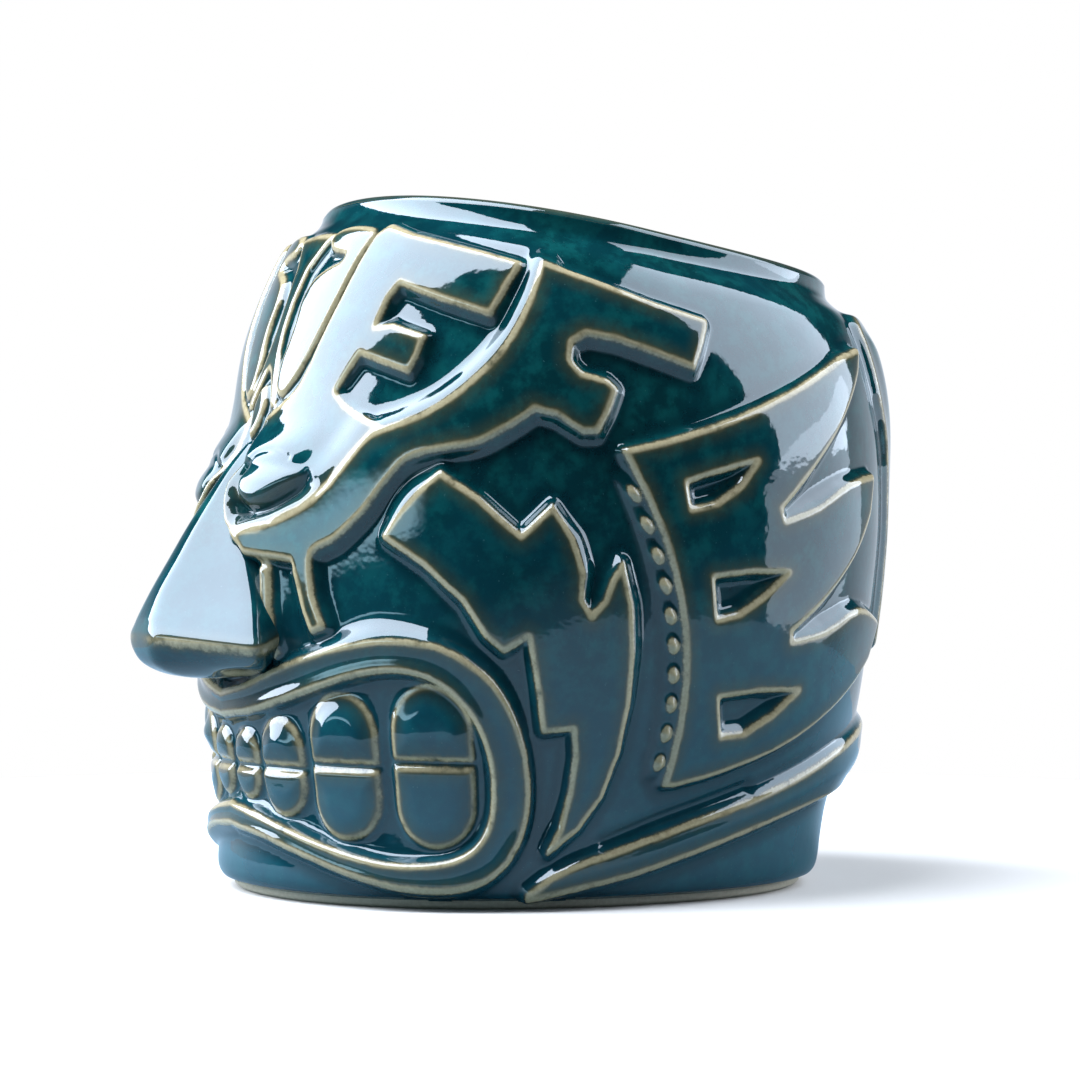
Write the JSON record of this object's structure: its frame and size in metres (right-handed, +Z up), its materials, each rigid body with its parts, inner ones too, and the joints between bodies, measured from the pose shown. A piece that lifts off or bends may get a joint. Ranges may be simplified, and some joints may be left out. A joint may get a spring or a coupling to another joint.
{
  "type": "tiki mug",
  "caption": "Handleless drinking mug cast as a carved tiki head, with a sloping rim, wedge nose, bared teeth and raised brow, cheek and ear ornament under a glossy glaze.",
  "frame": {"origin": "on the table, under the middle of the bounding box", "axes": "+Z up; the face looks along -Y, the nape is towards +Y, and the head's left side is towards +X"},
  "size_m": [0.093, 0.1064, 0.0933],
  "materials": {
    "glaze_teal": "deep teal gloss glaze that breaks to cream on raised edges",
    "bare_clay": "unglazed fired clay, wiped foot ring"
  },
  "bodies": {
    "root": {"bead_strip_left": "glaze_teal", "bead_strip_right": "glaze_teal", "brow_key_left": "glaze_teal", "brow_key_right": "glaze_teal", "brow_sweep_left": "glaze_teal", "brow_sweep_right": "glaze_teal", "cheek_band_left": "glaze_teal", "cheek_band_right": "glaze_teal", "ear_panel_left": "glaze_teal", "ear_panel_right": "glaze_teal", "eye_left": "glaze_teal", "eye_right": "glaze_teal", "foot_ring": "bare_clay", "forehead_almond": "glaze_teal", "forehead_leaf_left": "glaze_teal", "forehead_leaf_right": "glaze_teal", "forehead_stem": "glaze_teal", "hair_lock_back": "glaze_teal", "hair_lock_left": "glaze_teal", "hair_lock_right": "glaze_teal", "head_shell": "glaze_teal", "lips": "glaze_teal", "nape_belt": "glaze_teal", "nose": "glaze_teal", "smile_fold_left": "glaze_teal", "smile_fold_right": "glaze_teal", "tooth_lower_left_1": "glaze_teal", "tooth_lower_left_2": "glaze_teal", "tooth_lower_left_3": "glaze_teal", "tooth_lower_left_4": "glaze_teal", "tooth_lower_right_1": "glaze_teal", "tooth_lower_right_2": "glaze_teal", "tooth_lower_right_3": "glaze_teal", "tooth_lower_right_4": "glaze_teal", "tooth_upper_left_1": "glaze_teal", "tooth_upper_left_2": "glaze_teal", "tooth_upper_left_3": "glaze_teal", "tooth_upper_left_4": "glaze_teal", "tooth_upper_right_1": "glaze_teal", "tooth_upper_right_2": "glaze_teal", "tooth_upper_right_3": "glaze_teal", "tooth_upper_right_4": "glaze_teal"}
  },
  "joints": []
}
